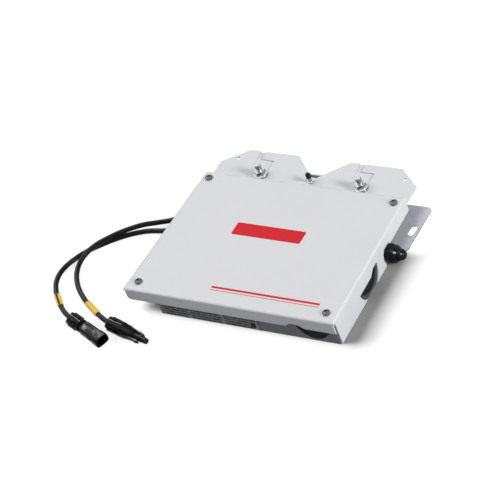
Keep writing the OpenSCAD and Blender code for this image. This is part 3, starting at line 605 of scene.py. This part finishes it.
def shadeSheetMesh():
    turn, steps = math.radians(shadeSheet["turn"]), shadeSheet["steps"]
    along = Vector((-math.sin(turn), math.cos(turn), 0))
    outward = Vector((math.cos(turn), math.sin(turn), 0))
    start = Vector((*shadeSheet["wallPoint"], 0))
    points = []
    for k in range(steps + 1):
        angle = math.pi * (1 + k / steps)
        for arc in ("inside", "outside"):
            radius, middle = shadeSheet[arc]["radius"], shadeSheet[arc]["middle"]
            height = max(middle + radius * math.sin(angle), shadeSheet["lowest"])
            corner = start + along * radius * math.cos(angle) + Vector((0, 0, height))
            points.append(corner * mm)
    faces = [(i, i + 1, i + 3, i + 2) for i in range(0, 2 * steps, 2)]
    rim = list(range(0, 2 * steps + 1, 2)) + list(range(2 * steps + 1, 0, -2))
    return sheetMesh(points, faces, rim, outward * shadeSheet["thickness"] * mm)


# a dark finish for the sheet, painted shade
shadeSheetFinish = moulded("shadeSheetDark", shadeSheet["color"],
                      roughness=0.6, grain=0.04, scale=900, specular=0.08)
addPiece("sideShadeSheet", shadeSheetMesh(), shadeSheetFinish, smooth=False)
print("skirt placed")


# plain printed fields on the panel, and the label on the front wall; all in mm
prints = {
    "panelFace": 36.5,
    "bar": {"middle": (-4, 16), "size": (96, 20), "corner": 2, "thickness": 0.05},
    "stripe": {"middle": (42, -79), "size": (148, 3), "corner": 0.6, "thickness": 0.05},
    "hairline": {"middle": (42, -83.4), "size": (148, 0.9), "corner": 0.3, "thickness": 0.05},
    "label": {"middle": (-29.5, 8.8), "size": (135, 16), "corner": 1, "thickness": 0.1},
    "cornerSteps": 6,
}


# flat sheet of print or label with rounded corners; the place is in metres
def addCard(name, facts, place, turn, finish):
    corner, steps = facts["corner"] * mm, prints["cornerSteps"]
    across, up = (length * mm / 2 - corner for length in facts["size"])
    outline = []
    for cx, cy, start in ((1, 1, 0), (-1, 1, 90), (-1, -1, 180), (1, -1, 270)):
        for k in range(steps + 1):
            angle = math.radians(start + 90 * k / steps)
            outline.append(Vector((cx * across + corner * math.cos(angle),
                                   cy * up + corner * math.sin(angle), 0)))
    ring = list(range(len(outline)))
    mesh = sheetMesh(outline, [ring], ring, Vector((0, 0, facts["thickness"] * mm)))
    lie = Matrix.Translation(place) @ turn.to_matrix().to_4x4()
    bmesh.ops.transform(mesh, matrix=lie, verts=mesh.verts)
    addPiece(name, mesh, finish, smooth=False)


# screen-printed red, slightly uneven
ink = {
    "color": (0.62, 0.014, 0.024),
    "specular": 0.15,
    "screen": (500, 3),
    "screenMask": (0.5, 0.3),
    "screenTint": 0.93,
    "roughness": 0.36,
    "roughScreen": 0.1,
    "peel": (900, 2),
    "peelDepth": 0.03,
}


def redInk(name):
    material, shader, place = startFinish(name, ink["specular"])
    screen, peel = (noise(place, *ink[n]) for n in ("screen", "peel"))
    darker = tinted(ink["color"], ink["screenTint"])
    tone = mixColor(screen.above(*ink["screenMask"]), ink["color"], darker)
    feed(shader, "Base Color", tone)
    feed(shader, "Roughness", ink["roughness"] + screen * ink["roughScreen"])
    feed(shader, "Normal", bump(peel, ink["peelDepth"]))
    return material


# the label's print: rows of short dark bars in three columns, and one solid block; lengths are
# in mm, x and z are places on the wall, and "gap", "fill" and "ragged" are shares of a cell
label = {
    "paper": (0.28, 0.28, 0.3),
    "ink": (0.004, 0.004, 0.005),
    "specular": 0.08,
    "row": {"pitch": 4.0, "gap": 0.27, "soft": 0.08},
    "column": {"pitch": 47, "shift": 200, "fill": 0.88, "ragged": 0.1, "soft": 0.01},
    "dash": {"pitch": 2.3, "palest": 0.5, "seed": 4},
    "block": {"x": (24.5, 31.5), "z": (3.5, 10.5), "soft": 0.2},
    "roughness": 0.4,
    "cloud": (300, 2),
    "roughCloud": 0.1,
    "depth": 0.01,
    "strength": 0.3,
}


# a number between 0 and 1 for each cell of a grid
def cellValue(column, row, seed):
    cell = column.node("ShaderNodeCombineXYZ", {}, {"X": column, "Y": row, "Z": seed})
    return cell.node("ShaderNodeTexWhiteNoise", {"noise_dimensions": "3D"}, {"Vector": cell})


def labelFilm(name):
    material, shader, place = startFinish(name, label["specular"])
    rows, columns, dashes, block = (label[n] for n in ("row", "column", "dash", "block"))
    x = coordinate(place, "X")
    z = x.output("Z")
    row = z / (rows["pitch"] * mm)
    column = (x + columns["shift"] * mm) / (columns["pitch"] * mm)
    dash = x / (dashes["pitch"] * mm)
    length = columns["fill"] + columns["ragged"] * cellValue(column.floor(), row.floor(), 0)
    inRow = row.fract().above(rows["gap"], rows["soft"])
    inBar = inRow * (column.fract() - length).below(0, columns["soft"])
    weight = cellValue(dash.floor(), row.floor(), dashes["seed"]) * (1 - dashes["palest"])
    printed = inBar * (dashes["palest"] + weight)
    insides = [along.within([n * mm for n in block[axis]], block["soft"] * mm)
               for axis, along in (("x", x), ("z", z))]
    covered = printed.larger(insides[0] * insides[1])
    feed(shader, "Base Color", mixColor(covered, label["paper"], label["ink"]))
    uneven = noise(place, *label["cloud"]) * label["roughCloud"]
    feed(shader, "Roughness", label["roughness"] + uneven)
    feed(shader, "Normal", bump(covered, label["depth"], label["strength"]))
    return material


redFinish = redInk("redInk")
for name in ("bar", "stripe", "hairline"):
    place = Vector((*prints[name]["middle"], prints["panelFace"])) * mm
    addCard(name + "Print", prints[name], place, Euler((0, 0, 0)), redFinish)
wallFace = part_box("base_tray")[0].y
x, z = (n * mm for n in prints["label"]["middle"])
upright = Euler((math.radians(90), 0, 0))
addCard("sticker", prints["label"], Vector((x, wallFace, z)), upright, labelFilm("stickerFilm"))
print("print and label placed")


# 1 for the rays that show the background: straight, mirrored or through something clear
def seenRays(tree):
    straight = Wire(tree).node("ShaderNodeLightPath", out="Is Camera Ray")
    clear = straight.output("Is Transmission Ray")
    return straight.larger(straight.output("Is Glossy Ray")).larger(clear)


# pale floor, in metres: it is seen white where nothing shades it, and gives the object only a
# little light back
floor = {
    "size": 6.0,
    "height": -0.0002,
    "seen": 0.3,
    "bounce": 0.065,
    "lift": 0.02,
    "roughness": 0.9,
}


def makeFloor():
    mesh = bmesh.new()
    half = floor["size"] / 2
    corners = [mesh.verts.new((x * half, y * half, floor["height"]))
               for x, y in ((-1, -1), (1, -1), (1, 1), (-1, 1))]
    mesh.faces.new(corners)
    material, shader = startMaterial("paleFloor", {
        "Roughness": floor["roughness"], "Specular IOR Level": 0.0, "Emission Strength": 1.0})
    seen = seenRays(material.node_tree)
    feed(shader, "Base Color", mixColor(seen, grey(floor["bounce"]), grey(floor["seen"])))
    feed(shader, "Emission Color", mixColor(seen, grey(0), grey(floor["lift"])))
    piece = meshObject("floor", mesh, material)
    return piece


floorPiece = makeFloor()


# lamps: three soft ones light the object, three bring out the gloss of black pieces, and three
# light only the floor, for its shadows; "from" is the direction to the lamp, "level" the light
# that it gives a face turned to it, 1 being white, and "spread" its width in degrees
lamps = {
    "key": {"from": (25.4, -3.35, 13.8), "level": 0.6, "spread": 14, "lights": "box"},
    "side": {"from": (1.0, -0.12, 0.1), "level": 0.52, "spread": 30, "lights": "box"},
    "overhead": {"from": (-0.5, -0.04, 0.87), "level": 0.69, "spread": 50, "lights": "box"},
    "glint": {"from": (0.4, -0.42, 0.81), "level": 3.0, "spread": 30, "lights": "gland"},
    "back": {"from": (-0.52, 0.55, 0.65), "level": 0.3, "spread": 8, "lights": "connectors"},
    "sheen": {"from": (-0.6, 0.45, 0.65), "level": 0.4, "spread": 14, "lights": "cables"},
    "floorLeft": {"from": (-29, -4, 36.5), "level": 3.4, "spread": 38, "lights": "floor"},
    "floorLow": {"from": (-38, -9, 26), "level": 0.95, "spread": 34, "lights": "floor"},
    "floorRight": {"from": (25.4, -3.35, 13.8), "level": 0.95, "spread": 26, "lights": "floor"},
}
# a spot on the floor round the right ear, so that the slot in it shows pale; mm and degrees
slotLight = {"place": (156, 84, 300), "power": 20, "cone": 16, "blend": 1.0, "radius": 8}


def linkGroup(name, pieces, state="INCLUDE"):
    group = bpy.data.collections.new(name)
    for piece in pieces:
        group.objects.link(piece)
    for member in group.collection_objects:
        member.light_linking.link_state = state
    return group


# what each lamp lights, and for the lamps on the floor, what throws their shadows
cover, hanger, tray = (nodeObjects[n] for n in ("cover", "hanger_plate", "base_tray"))
glandPieces = [nodeObjects[n] for n in ("gland_body", "gland_nut", "gland_plug")]
takers = {
    "floor": linkGroup("floorOnly", [floorPiece]),
    "box": linkGroup("allButFloor", [floorPiece], "EXCLUDE"),
    "gland": linkGroup("glandOnly", glandPieces),
    "cables": linkGroup("cablesOnly", cablePieces),
    "connectors": linkGroup("connectorsOnly", connectorPieces),
}
blockers = {
    "floorLeft": linkGroup("coverOnly", [cover]),
    "floorLow": linkGroup("coverAndCords", [cover] + cablePieces + sleevePieces + connectorPieces),
    "floorRight": linkGroup("allButHanger", [hanger], "EXCLUDE"),
    "slotLight": linkGroup("trayOnly", [tray]),
}


def addLamp(name, data, lights):
    lamp = bpy.data.objects.new(name, data)
    lamp.light_linking.receiver_collection = takers[lights]
    if name in blockers:
        lamp.light_linking.blocker_collection = blockers[name]
    scene.collection.objects.link(lamp)
    return lamp


for name, facts in lamps.items():
    data = bpy.data.lights.new(name, "SUN")
    data.energy = facts["level"] * math.pi
    data.angle = math.radians(facts["spread"])
    lamp = addLamp(name, data, facts["lights"])
    lamp.rotation_euler = Vector(facts["from"]).to_track_quat("Z", "Y").to_euler()

data = bpy.data.lights.new("slotLight", "SPOT")
data.energy = slotLight["power"]
data.spot_size = math.radians(slotLight["cone"])
data.spot_blend = slotLight["blend"]
data.shadow_soft_size = slotLight["radius"] * mm
addLamp("slotLight", data, "floor").location = [n * mm for n in slotLight["place"]]

# white round the object for the rays that see it, and a weak even light for the rest
room = {"level": 0.1, "seen": 1.0}
world = bpy.data.worlds.new("room")
scene.world = world
world.use_nodes = True
level = mixColor(seenRays(world.node_tree), grey(room["level"]), grey(room["seen"]))
feed(world.node_tree.nodes["Background"], "Color", level)
print("floor and lights ready")
